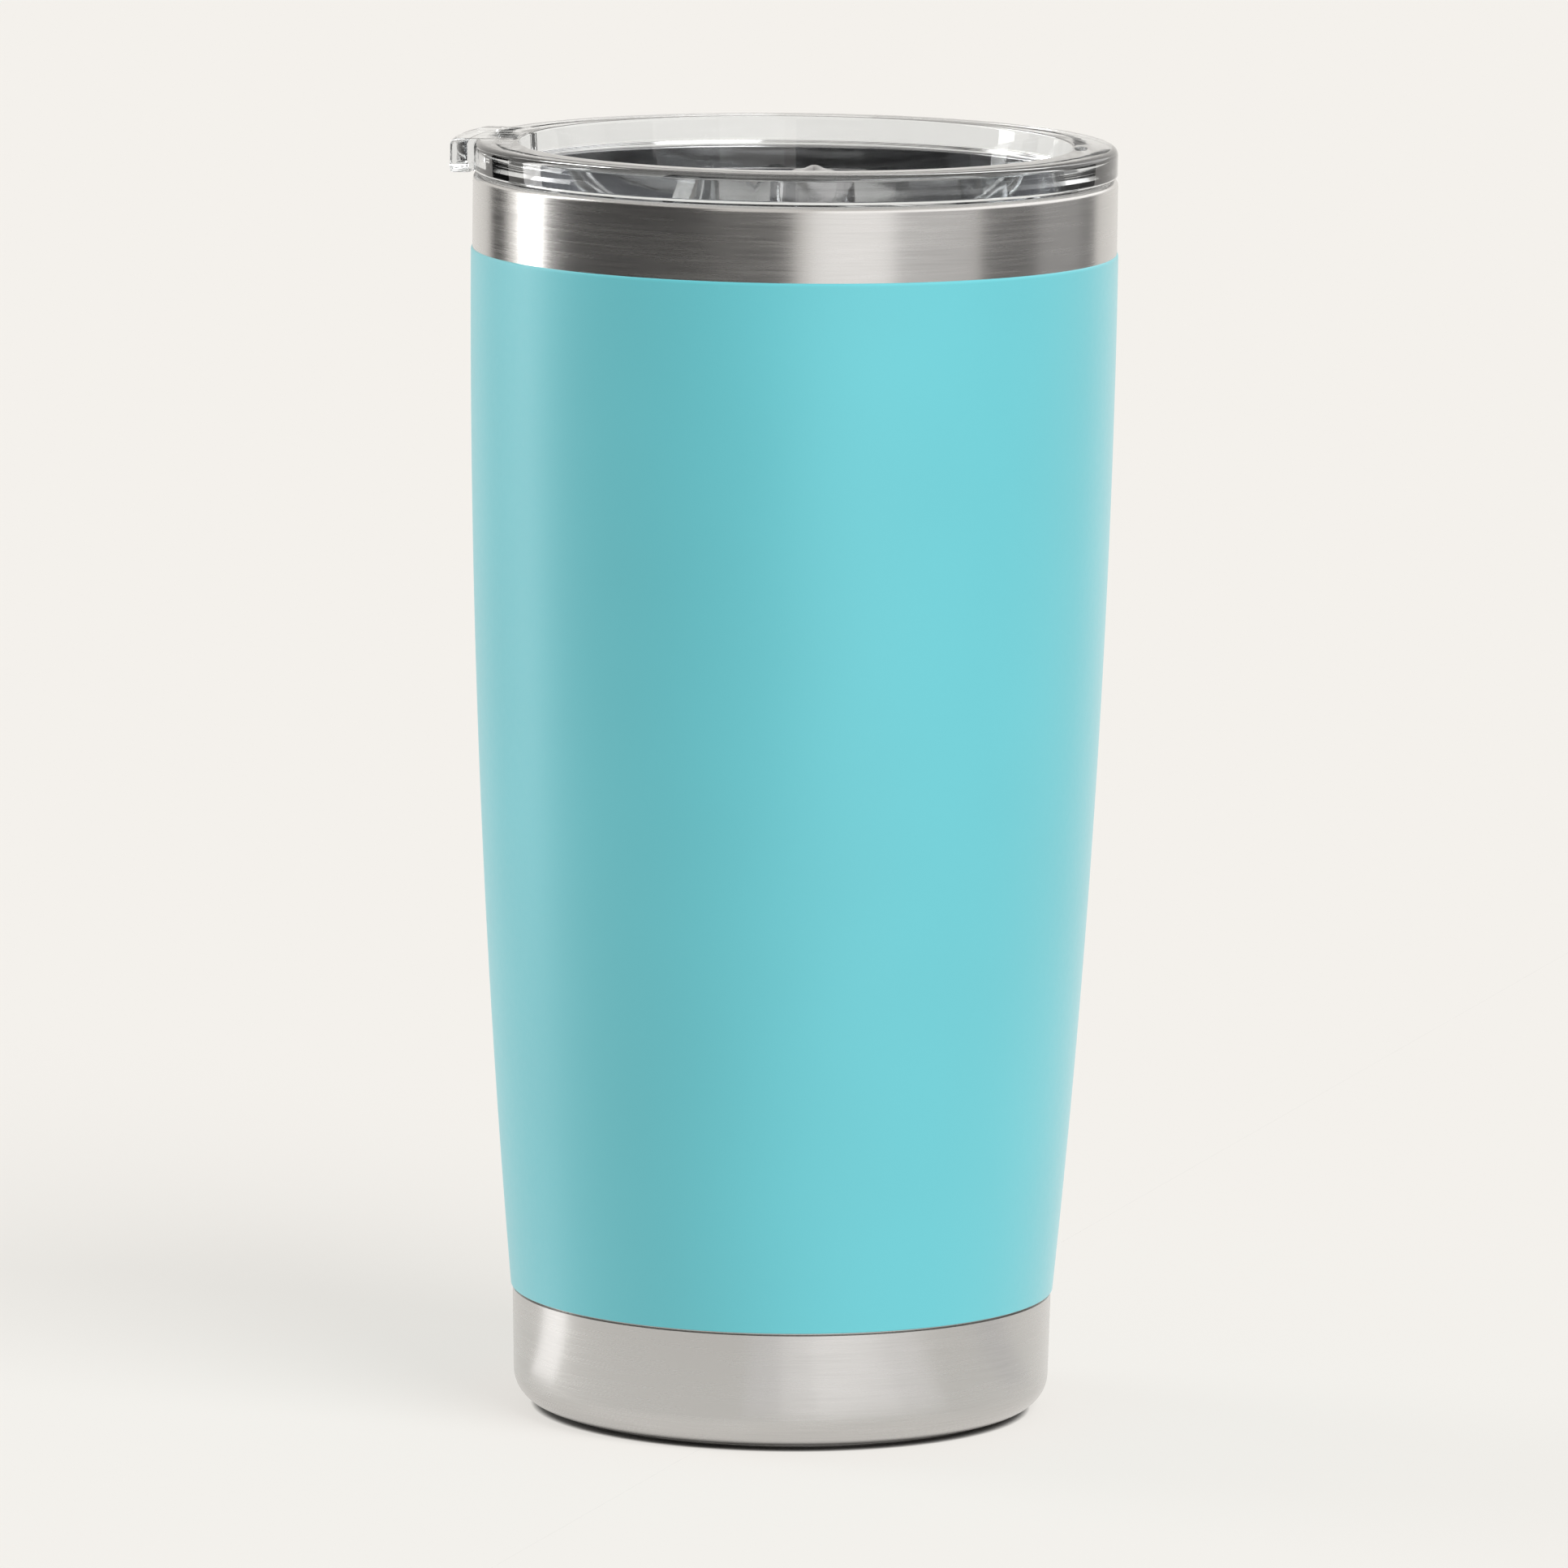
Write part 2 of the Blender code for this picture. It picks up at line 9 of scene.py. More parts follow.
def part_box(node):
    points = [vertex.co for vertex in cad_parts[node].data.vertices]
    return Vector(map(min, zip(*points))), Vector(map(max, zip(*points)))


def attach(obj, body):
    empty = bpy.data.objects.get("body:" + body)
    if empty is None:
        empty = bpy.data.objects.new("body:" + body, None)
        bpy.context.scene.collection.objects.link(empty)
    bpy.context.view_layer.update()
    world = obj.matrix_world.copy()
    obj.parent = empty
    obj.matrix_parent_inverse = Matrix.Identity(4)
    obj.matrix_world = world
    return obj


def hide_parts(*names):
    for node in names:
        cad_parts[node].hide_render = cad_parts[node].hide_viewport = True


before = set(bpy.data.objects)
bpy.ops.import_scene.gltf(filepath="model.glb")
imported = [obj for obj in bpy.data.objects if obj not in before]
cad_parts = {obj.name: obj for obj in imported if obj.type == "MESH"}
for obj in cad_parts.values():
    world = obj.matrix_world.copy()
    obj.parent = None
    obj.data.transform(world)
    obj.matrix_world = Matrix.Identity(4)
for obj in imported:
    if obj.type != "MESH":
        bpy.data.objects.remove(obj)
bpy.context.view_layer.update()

SEGMENTS = 192
SMOOTH_ANGLE = math.radians(32.0)
TOLERANCE = 1e-7

# Camera, in metres and radians; azimuth 0 looks along +Y and grows towards +X
PHOTO_AZIMUTH = math.radians(12.5)
CAMERA_DISTANCE = 1.7895
CAMERA_HEIGHT = 0.3507
CAMERA_PITCH = 0.1463
CAMERA_YAW = 0.0003
CAMERA_ROLL = 0.0125
CAMERA_LENS = 300.7
SENSOR_WIDTH = 36.0
CAMERA_NEAR = 0.05
CAMERA_FAR = 100.0

# Vessel details that the frame's boxes don't give
RIM_ROUNDING = 0.0007
SEAM_RADIUS = 0.04265
WALL = 0.0006
TAPER_START = 0.1666
TAPER_ARC_RADIUS = 1.6363
COAT_PROUD = 0.0002
COAT_EDGE = 0.0005
COAT_EDGE_STEPS = 6
SEAM_GROOVE_HEIGHT = 0.00036
SEAM_GROOVE_DEPTH = 0.00034
HEEL_RADIUS = 0.0371
HEEL_HEIGHT = 0.0050
HEEL_ROUNDING = 0.0044
BORE_RADIUS = 0.0418
BORE_DEPTH = 0.0126
LEDGE_HEIGHT = 0.0024
CUP_INSET = 0.0050
CUP_ROUNDING = 0.0080
PAN_RECESS = 0.0014
FOOT_WIDTH = 0.0010
FOOT_ROUNDING = 0.0004
DIMPLE_RADIUS = 0.0060
DIMPLE_DEPTH = 0.0018
PORT_RADIUS = 0.0012

# Lid details
FLANGE_RADIUS = 0.0442
FLANGE_UNDERSIDE = 0.1718
FLANGE_ROUNDING = 0.0010
WELL_EDGE_ROUNDING = 0.0004
WELL_RADIUS = 0.0380
WELL_FLOOR_RADIUS = 0.0372
WELL_FLOOR = 0.1654
WELL_ROUNDING = 0.0008
FLOOR_THICKNESS = 0.0020
PLUG_WALL_RADIUS = 0.0408
SKIRT_INNER_RADIUS = 0.0382
GROOVE_RADIUS = 0.0394
GROOVE_BOTTOM = 0.1646
GROOVE_TOP = 0.1684
TAB_DROP = 0.0006
TAB_LIP_CLEARANCE = 0.0005
TAB_HALF_ANGLE = math.radians(11.4)
TAB_SIDE_ANGLE = math.radians(1.6)
TAB_STEPS = 13
SLOT_RADIUS = 0.0305
SLOT_HALF_WIDTH = 0.0030
SLOT_HALF_ANGLE = math.radians(16.0)
VENT_X = -0.0260
VENT_RADIUS = 0.0012
GASKET_WEB = 0.0008
FIN_ROOT_HALF_HEIGHT = 0.00035
FIN_TIP_RADIUS = 0.00018
FIN_LIFT = 0.0002
MARK_ANGLE = math.radians(8.0)
MARK_RADIUS = 0.0007
MARK_WIRE = 0.00022

# Slider details
SLIDER_TRAVEL = 0.0120
SLIDER_FRONT_RADIUS = 0.0352
SLIDER_HALF_WIDTH = 0.0128
SLIDER_UNDERSIDE = 0.1664
SLIDER_THICKNESS = 0.0010
SLIDER_REAR_X = -0.0130
SLIDER_EDGE_ROUNDING = 0.0003
GRIP_X = 0.0024
GRIP_RADIUS = 0.0058
GRIP_HALF_LENGTH = 0.0085
GRIP_GROOVES = 3
GRIP_GROOVE_SHARE = 0.03
RAIL_FRONT_X = 0.0280
RAIL_THICKNESS = 0.0016
RAIL_LIP = 0.0012
RAIL_LIP_THICKNESS = 0.0008
RAIL_SINK = 0.0006
CONTACT_GAP = 0.0003

# Materials
FINE_MARK_SHARE = 0.65
PLASTIC_IOR = 1.53
SILICONE_IOR = 1.41

# Light levels, linear; the lit floor and the world come out the same pale tone
PALE = (0.905, 0.879, 0.838)
AMBIENT = 0.65
FLOOR_GLOW = 0.70
# Reach of the floor's painted contact shadow: its glow fades where ambient occlusion finds something this
# close
CONTACT_SHADOW_REACH = 0.0010
KEY_LEVEL = 0.88
KEY_AZIMUTH = math.radians(41.0)
KEY_ELEVATION = math.radians(43.0)
KEY_ANGLE = math.radians(38.0)
RIM_LEVEL = 0.61
RIM_AZIMUTH = math.radians(-115.0)
RIM_ELEVATION = math.radians(12.0)
RIM_ANGLE = math.radians(30.0)

# The floor, and the cards that stand round the tumbler or lie on the floor
FLOOR_RADIUS = 30.0
CARD_DISTANCE = 0.42
CARD_STEP_DEGREES = 5
CARD_SPLIT = 0.24
CARD_TOP = 0.62
STRIP_BOTTOM = 0.118
CARD_WHITE = (1.0, 0.985, 0.965)
FLOOR_CARD_START = 0.046
FLOOR_CARD_HEIGHT = 0.003

# Name, start and end in degrees from the photo's viewpoint, level, bottom and top
UPRIGHT_CARDS = (
    ("left_edge_flag", -133.5, -119.5, 0.02, 0.0, CARD_SPLIT),
    ("left_strip_softbox", -109.0, -98.5, 6.2, STRIP_BOTTOM, CARD_TOP),
    ("left_low_strip", -109.0, -98.5, 4.0, 0.0, STRIP_BOTTOM),
    ("left_grey_card", -98.5, -87.0, 0.25, 0.0, CARD_SPLIT),
    ("left_flag", -87.0, -30.0, 0.07, 0.0, CARD_TOP),
    ("front_dim_card", -30.0, 0.0, 0.09, 0.0, CARD_SPLIT),
    ("front_softbox", 5.0, 34.0, 1.22, 0.0, CARD_SPLIT),
    ("front_right_softbox", 34.0, 64.0, 0.66, 0.0, CARD_SPLIT),
    ("right_flag", 66.0, 92.0, 0.14, 0.0, CARD_SPLIT),
    ("right_grey_card", 92.0, 118.0, 0.40, 0.0, CARD_SPLIT),
    ("right_edge_flag", 118.0, 130.0, 0.26, 0.0, CARD_SPLIT),
    ("high_softbox", 8.0, 150.0, 1.6, CARD_SPLIT, CARD_TOP),
    ("rear_thin_flag", 172.0, 187.0, 0.10, 0.2185, 0.2245),
)

# Glowing patches lying on the floor that only reflections see: painted reflections of light on the floor
# Name, start and end in degrees at the near end, level, and how far the far end swings round
FLOOR_CARDS = (
    ("floor_strip", -89.0, -73.0, 1.45, -22.0),
    ("floor_front_edge", -10.0, 0.0, 0.96, 0.0),
    ("floor_front_near", 0.0, 10.0, 1.04, 0.0),
    ("floor_front", 10.0, 34.0, 1.15, 0.0),
    ("floor_front_far", 34.0, 48.0, 1.03, 0.0),
    ("floor_right_flag", 74.0, 90.0, 0.78, 0.0),
)

rim_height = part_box("outer_shell")[1].z
rim_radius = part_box("outer_shell")[1].x
coat_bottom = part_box("powder_coat")[0].z
coat_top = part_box("powder_coat")[1].z
lid_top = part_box("lid_body")[1].z
plug_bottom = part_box("lid_body")[0].z
tab_radius = -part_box("lid_body")[0].x
cup_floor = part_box("inner_liner")[0].z + WALL
pan_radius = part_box("base_pan")[1].x
disc_low, disc_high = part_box("base_cover_disc")
gasket_low, gasket_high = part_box("lid_gasket")
grip_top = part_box("lid_slider")[1].z


def arc(centre, radius, start_degrees, end_degrees, steps):
    """Points on an arc, both ends included."""
    points = []
    for step in range(steps + 1):
        turn = math.radians(start_degrees + (end_degrees - start_degrees) * step / steps)
        points.append((centre[0] + radius * math.cos(turn), centre[1] + radius * math.sin(turn)))
    return points


def heights(top, bottom, count):
    """Evenly spaced heights from top to bottom."""
    return [top + (bottom - top) * step / count for step in range(count + 1)]


def steel_radius(height):
    """Outer radius of the steel: one long arc that starts upright near the rim."""
    drop = max(TAPER_START - height, 0.0)
    return rim_radius - TAPER_ARC_RADIUS + math.sqrt(TAPER_ARC_RADIUS ** 2 - drop ** 2)


def cup_radius(height):
    """Inner radius of the cup below its ledge."""
    return steel_radius(height) - CUP_INSET


def make_piece(name, bm, material):
    """A smooth-shaded object from a bmesh, with outward faces."""
    bmesh.ops.remove_doubles(bm, verts=bm.verts, dist=TOLERANCE)
    bmesh.ops.recalc_face_normals(bm, faces=bm.faces)
    mesh = bpy.data.meshes.new(name)
    bm.to_mesh(mesh)
    bm.free()
    mesh.shade_smooth()
    mesh.set_sharp_from_angle(angle=SMOOTH_ANGLE)
    mesh.materials.append(material)
    piece = bpy.data.objects.new(name, mesh)
    bpy.context.collection.objects.link(piece)
    return piece


def skin(sections):
    """A bmesh that joins closed outlines, each a (direction, points) section, all the way round Z."""
    bm = bmesh.new()
    rings = []
    for direction, outline in sections:
        rings.append([bm.verts.new(direction * radius + Vector((0.0, 0.0, z))) for radius, z in outline])
    for index, ring in enumerate(rings):
        before = rings[index - 1]
        for point in range(len(ring)):
            if max(ring[point - 1].co.xy.length, ring[point].co.xy.length) < TOLERANCE:
                continue
            bm.faces.new((before[point - 1], before[point], ring[point], ring[point - 1]))
    bmesh.ops.remove_doubles(bm, verts=bm.verts, dist=TOLERANCE)
    return bm


def turned(name, outline, material):
    """A piece turned about Z from one closed outline."""
    sections = []
    for step in range(SEGMENTS):
        turn = math.tau * step / SEGMENTS
        sections.append((Vector((math.cos(turn), math.sin(turn), 0.0)), outline))
    return make_piece(name, skin(sections), material)


def stand_for(piece, body, slot, *nodes):
    """Put a piece on its body and let it replace CAD nodes; the slot is not used."""
    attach(piece, body)
    if nodes:
        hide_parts(*nodes)


# ---------------------------------------------------------------- materials

def new_material(name):
    """A material with nodes, its tree and its Principled shader."""
    material = bpy.data.materials.new(name)
    material.use_nodes = True
    tree = material.node_tree
    return material, tree, tree.nodes["Principled BSDF"]


def add_noise(tree, vector, scale, detail=3.0):
    """A noise texture's value on a vector."""
    noise = tree.nodes.new("ShaderNodeTexNoise")
    noise.inputs["Scale"].default_value = scale
    noise.inputs["Detail"].default_value = detail
    tree.links.new(vector, noise.inputs["Vector"])
    return noise.outputs["Fac"]


def add_range(tree, value, low, high, from_low=0.3, from_high=0.7):
    """Map a noise value to a range."""
    node = tree.nodes.new("ShaderNodeMapRange")
    node.inputs["From Min"].default_value = from_low
    node.inputs["From Max"].default_value = from_high
    node.inputs["To Min"].default_value = low
    node.inputs["To Max"].default_value = high
    tree.links.new(value, node.inputs["Value"])
    return node.outputs["Result"]


def add_blend(tree, value, first, second):
    """A colour between two colours, by a value."""
    node = tree.nodes.new("ShaderNodeMix")
    node.data_type = "RGBA"
    node.inputs["A"].default_value = (*first, 1.0)
    node.inputs["B"].default_value = (*second, 1.0)
    tree.links.new(value, node.inputs["Factor"])
    return node.outputs["Result"]


def add_bump(tree, value, strength, distance):
    """A bump node fed by a height value."""
    bump = tree.nodes.new("ShaderNodeBump")
    bump.inputs["Strength"].default_value = strength
    bump.inputs["Distance"].default_value = distance
    tree.links.new(value, bump.inputs["Height"])
    return bump.outputs["Normal"]


def link_surface(tree, shader, tone, gloss, relief):
    """Feed a shader's colour, roughness and normal."""
    tree.links.new(tone, shader.inputs["Base Color"])
    tree.links.new(gloss, shader.inputs["Roughness"])
    tree.links.new(relief, shader.inputs["Normal"])


def object_vector(tree):
    """Object coordinates."""
    return tree.nodes.new("ShaderNodeTexCoord").outputs["Object"]


def brush_vector(tree, along, across):
    """Coordinates stretched round the axis, so that noise on them makes circular brush marks."""
    split = tree.nodes.new("ShaderNodeSeparateXYZ")
    tree.links.new(object_vector(tree), split.inputs[0])
    flat = tree.nodes.new("ShaderNodeCombineXYZ")
    tree.links.new(split.outputs["X"], flat.inputs["X"])
    tree.links.new(split.outputs["Y"], flat.inputs["Y"])
    length = tree.nodes.new("ShaderNodeVectorMath")
    length.operation = "LENGTH"
    tree.links.new(flat.outputs[0], length.inputs[0])
    unit = tree.nodes.new("ShaderNodeVectorMath")
    unit.operation = "NORMALIZE"
    tree.links.new(flat.outputs[0], unit.inputs[0])
    depth = tree.nodes.new("ShaderNodeMath")
    tree.links.new(split.outputs["Z"], depth.inputs[0])
    tree.links.new(length.outputs["Value"], depth.inputs[1])
    direction = tree.nodes.new("ShaderNodeSeparateXYZ")
    tree.links.new(unit.outputs["Vector"], direction.inputs[0])
    joined = tree.nodes.new("ShaderNodeCombineXYZ")
    tree.links.new(direction.outputs["X"], joined.inputs["X"])
    tree.links.new(direction.outputs["Y"], joined.inputs["Y"])
    tree.links.new(depth.outputs[0], joined.inputs["Z"])
    stretched = tree.nodes.new("ShaderNodeVectorMath")
    stretched.operation = "MULTIPLY"
    stretched.inputs[1].default_value = (along, along, across)
    tree.links.new(joined.outputs[0], stretched.inputs[0])
    return stretched.outputs["Vector"]


def brushed_steel(name, colour, roughness, marks, brush=0.6):
    """Steel with circular marks in its tone, gloss and relief; a low brush value looks polished."""
    material, tree, shader = new_material(name)
    fine = add_noise(tree, brush_vector(tree, along=4.0, across=3800.0), scale=1.0)
    broad = add_noise(tree, brush_vector(tree, along=2.5, across=420.0), scale=1.0, detail=2.0)
    both = tree.nodes.new("ShaderNodeMath")
    both.operation = "MULTIPLY_ADD"
    both.inputs[1].default_value = FINE_MARK_SHARE
    tree.links.new(fine, both.inputs[0])
    share = tree.nodes.new("ShaderNodeMath")
    share.operation = "MULTIPLY"
    share.inputs[1].default_value = 1.0 - FINE_MARK_SHARE
    tree.links.new(broad, share.inputs[0])
    tree.links.new(share.outputs[0], both.inputs[2])
    height = both.outputs[0]
    darker = tuple(channel * (1.0 - marks) for channel in colour)
    tone = add_blend(tree, add_range(tree, height, 0.0, 1.0), darker, colour)
    gloss = add_range(tree, height, roughness * 0.86, roughness * 1.14)
    relief = add_bump(tree, height, strength=0.15, distance=0.00002)
    link_surface(tree, shader, tone, gloss, relief)
    shader.inputs["Metallic"].default_value = 1.0
    shader.inputs["Anisotropic"].default_value = brush
    shader.inputs["Anisotropic Rotation"].default_value = 0.25
    tangent = tree.nodes.new("ShaderNodeTangent")
    tangent.direction_type = "RADIAL"
    tangent.axis = "Z"
    tree.links.new(tangent.outputs[0], shader.inputs["Tangent"])
    return material


def powder_coat_material(name, colour):
    """Satin powder coat: a fine orange peel, and a slight drift in tone and gloss."""
    material, tree, shader = new_material(name)
    vector = object_vector(tree)
    peel = add_noise(tree, vector, scale=2600.0, detail=2.0)
    grain = add_noise(tree, vector, scale=900.0)
    drift = add_noise(tree, vector, scale=22.0, detail=2.0)
    deeper = tuple(channel * 0.95 for channel in colour)
    tone = add_blend(tree, add_range(tree, drift, 0.0, 1.0), deeper, colour)
    height = tree.nodes.new("ShaderNodeMath")
    height.operation = "ADD"
    tree.links.new(peel, height.inputs[0])
    tree.links.new(grain, height.inputs[1])
    relief = add_bump(tree, height.outputs[0], strength=0.20, distance=0.00003)
    link_surface(tree, shader, tone, add_range(tree, grain, 0.42, 0.48), relief)
    shader.inputs["Coat Weight"].default_value = 0.20
    shader.inputs["Coat Roughness"].default_value = 0.3
    shader.inputs["Sheen Weight"].default_value = 0.32
    shader.inputs["Sheen Roughness"].default_value = 0.5
    return material


def clear_plastic(name, colour, roughness):
    """Clear or tinted moulded plastic that lets light through to what it shades."""
    material, tree, shader = new_material(name)
    vector = object_vector(tree)
    flow = add_noise(tree, vector, scale=160.0, detail=2.0)
    haze = add_noise(tree, vector, scale=700.0)
    dimmer = tuple(channel * 0.97 for channel in colour)
    tone = add_blend(tree, add_range(tree, flow, 0.0, 1.0), dimmer, colour)
    gloss = add_range(tree, haze, roughness * 0.6, roughness * 1.4)
    relief = add_bump(tree, flow, strength=0.15, distance=0.00006)
    link_surface(tree, shader, tone, gloss, relief)
    shader.inputs["Transmission Weight"].default_value = 1.0
    shader.inputs["IOR"].default_value = PLASTIC_IOR
    let_light_through(tree, shader)
    return material


def let_light_through(tree, shader):
    """Make shadow rays pass, so that clear pieces don't cast solid shadows."""
    clear = tree.nodes.new("ShaderNodeBsdfTransparent")
    path = tree.nodes.new("ShaderNodeLightPath")
    mix = tree.nodes.new("ShaderNodeMixShader")
    tree.links.new(path.outputs["Is Shadow Ray"], mix.inputs[0])
    tree.links.new(shader.outputs[0], mix.inputs[1])
    tree.links.new(clear.outputs[0], mix.inputs[2])
    tree.links.new(mix.outputs[0], tree.nodes["Material Output"].inputs["Surface"])


def silicone_material(name, colour, clearness):
    """Matte silicone; its clearness is the share of light that passes into it."""
    material, tree, shader = new_material(name)
    grain = add_noise(tree, object_vector(tree), scale=1100.0)
    darker = tuple(channel * 0.93 for channel in colour)
    tone = add_blend(tree, add_range(tree, grain, 0.0, 1.0), darker, colour)
    relief = add_bump(tree, grain, strength=0.1, distance=0.00003)
    link_surface(tree, shader, tone, add_range(tree, grain, 0.42, 0.55), relief)
    shader.inputs["Transmission Weight"].default_value = clearness
    shader.inputs["IOR"].default_value = SILICONE_IOR
    return material


def dull_metal(name, colour, roughness, metallic, scale):
    """Unpolished small part, mottled by casting, pressing or sintering."""
    material, tree, shader = new_material(name)
    mottle = add_noise(tree, object_vector(tree), scale, detail=4.0)
    darker = tuple(channel * 0.75 for channel in colour)
    tone = add_blend(tree, add_range(tree, mottle, 0.0, 1.0), darker, colour)
    gloss = add_range(tree, mottle, roughness * 0.8, roughness * 1.2)
    relief = add_bump(tree, mottle, strength=0.3, distance=0.00005)
    link_surface(tree, shader, tone, gloss, relief)
    shader.inputs["Metallic"].default_value = metallic
    return material


# ---------------------------------------------------------------- vessel

def make_shell(material):
    """Outer wall with its rolled lip and rounded heel."""
    taper = heights(coat_top, coat_bottom, 40)
    lip = (rim_radius - RIM_ROUNDING, rim_height - RIM_ROUNDING)
    heel = (HEEL_RADIUS - HEEL_ROUNDING, HEEL_HEIGHT)
    outline = [(SEAM_RADIUS, rim_height)]
    outline += arc(lip, RIM_ROUNDING, 90, 0, 10)
    outline += [(steel_radius(height), height) for height in taper]
    groove = coat_bottom - SEAM_GROOVE_HEIGHT
    outline.append((steel_radius(coat_bottom) - SEAM_GROOVE_DEPTH, coat_bottom))
    outline.append((steel_radius(groove) - SEAM_GROOVE_DEPTH, groove + SEAM_GROOVE_DEPTH / 2))
    outline.append((steel_radius(groove), groove))
    outline += arc(heel, HEEL_ROUNDING, 0, -90, 16)
    outline += arc(heel, HEEL_ROUNDING - WALL, -90, 0, 10)
    outline += [(steel_radius(height) - WALL, height) for height in reversed(taper[::4])]
    outline += arc(lip, RIM_ROUNDING - WALL, 0, 90, 4)
    outline.append((SEAM_RADIUS, rim_height - WALL))
    return turned("outer_shell_smooth", outline, material)


def make_coat(material):
    """Powder coat: it thins out over its top edge and ends square over the seam groove."""
    top = coat_top - COAT_EDGE
    taper = heights(top, coat_bottom + COAT_PROUD / 2, 40)
    outline = [(steel_radius(coat_top), coat_top)]
    for step in range(COAT_EDGE_STEPS):
        share = (step + 0.5) / COAT_EDGE_STEPS
        height = coat_top - COAT_EDGE * share
        outline.append((steel_radius(height) + COAT_PROUD * math.sqrt(share * (2.0 - share)), height))
    outline += [(steel_radius(height) + COAT_PROUD, height) for height in taper]
    outline.append((steel_radius(coat_bottom) + COAT_PROUD / 2, coat_bottom))
    outline.append((steel_radius(coat_bottom), coat_bottom))
    outline += [(steel_radius(height), height) for height in reversed(taper[::4])]
    return turned("powder_coat_smooth", outline, material)


def make_liner(material):
    """Inner cup with its bore, ledge, tapered wall and rounded floor."""
    bore_end = rim_height - BORE_DEPTH
    ledge_end = bore_end - LEDGE_HEIGHT
    corner_height = cup_floor + CUP_ROUNDING
    wall = heights(ledge_end, corner_height, 30)
    corner = (cup_radius(corner_height) - CUP_ROUNDING, corner_height)
    lip = (BORE_RADIUS + WALL / 2, rim_height - WALL / 2)
    outline = [(SEAM_RADIUS, rim_height)]
    outline += arc(lip, WALL / 2, 90, 180, 6)
    outline.append((BORE_RADIUS, bore_end))
    outline += [(cup_radius(height), height) for height in wall]
    outline += arc(corner, CUP_ROUNDING, 0, -90, 16)[1:]
    outline.append((0.0, cup_floor))
    outline.append((0.0, cup_floor - WALL))
    outline += arc(corner, CUP_ROUNDING + WALL, -90, 0, 12)
    outline += [(cup_radius(height) + WALL, height) for height in reversed(wall[:-1:5])]
    outline.append((BORE_RADIUS + WALL, bore_end))
    outline.append((BORE_RADIUS + WALL, rim_height - 2.0 * WALL))
    outline.append((SEAM_RADIUS, rim_height - 1.5 * WALL))
    return turned("inner_liner_smooth", outline, material)


def make_pan(material):
    """Pressed base with its foot bead and the dimple round the vacuum port."""
    foot_inner = pan_radius - FOOT_WIDTH - 2.0 * FOOT_ROUNDING
    dimple_height = PAN_RECESS + DIMPLE_DEPTH
    outline = [(pan_radius, PAN_RECESS + WALL)]
    outline += arc((pan_radius - FOOT_ROUNDING, FOOT_ROUNDING), FOOT_ROUNDING, 0, -90, 6)
    outline += arc((foot_inner + FOOT_ROUNDING, FOOT_ROUNDING), FOOT_ROUNDING, -90, -150, 6)
    outline.append((foot_inner - PAN_RECESS, PAN_RECESS))
    outline.append((DIMPLE_RADIUS, PAN_RECESS))
    outline.append((DIMPLE_RADIUS - DIMPLE_DEPTH, dimple_height))
    outline.append((PORT_RADIUS, dimple_height))
    outline.append((PORT_RADIUS, dimple_height + WALL))
    outline.append((DIMPLE_RADIUS - DIMPLE_DEPTH + WALL / 2, dimple_height + WALL))
    outline.append((DIMPLE_RADIUS + WALL / 2, PAN_RECESS + WALL))
    return turned("base_pan_smooth", outline, material)


def make_disc(material):
    """Cover disc with a broken edge."""
    edge = (disc_high.z - disc_low.z) / 4
    radius = disc_high.x
    outline = [(radius - edge, disc_high.z)]
    outline += arc((radius - edge, disc_high.z - edge), edge, 90, 0, 4)[1:]
    outline += arc((radius - edge, disc_low.z + edge), edge, 0, -90, 4)
    outline.append((0.0, disc_low.z))
    outline.append((0.0, disc_high.z))
    return turned("base_cover_disc_smooth", outline, material)


# ---------------------------------------------------------------- lid

def tab_share(angle):
    """How far the flange has grown into the tab at an angle: 0 on the rim, 1 on the tab."""
    off_centre = abs(math.remainder(angle - math.pi, math.tau))
    share = (TAB_HALF_ANGLE + TAB_SIDE_ANGLE - off_centre) / TAB_SIDE_ANGLE
    share = min(max(share, 0.0), 1.0)
    return share * share * (3.0 - 2.0 * share)


def lid_angles():
    """Section angles: even steps all round, and closer ones down the tab's sides."""
    start = TAB_HALF_ANGLE - TAB_SIDE_ANGLE / 4
    end = TAB_HALF_ANGLE + TAB_SIDE_ANGLE * 1.25
    angles = [math.tau * step / SEGMENTS for step in range(SEGMENTS)]
    angles = [angle for angle in angles if not start < abs(angle - math.pi) < end]
    for step in range(TAB_STEPS):
        offset = start + (end - start) * (step + 0.5) / TAB_STEPS
        angles += [math.pi - offset, math.pi + offset]
    return sorted(angles)


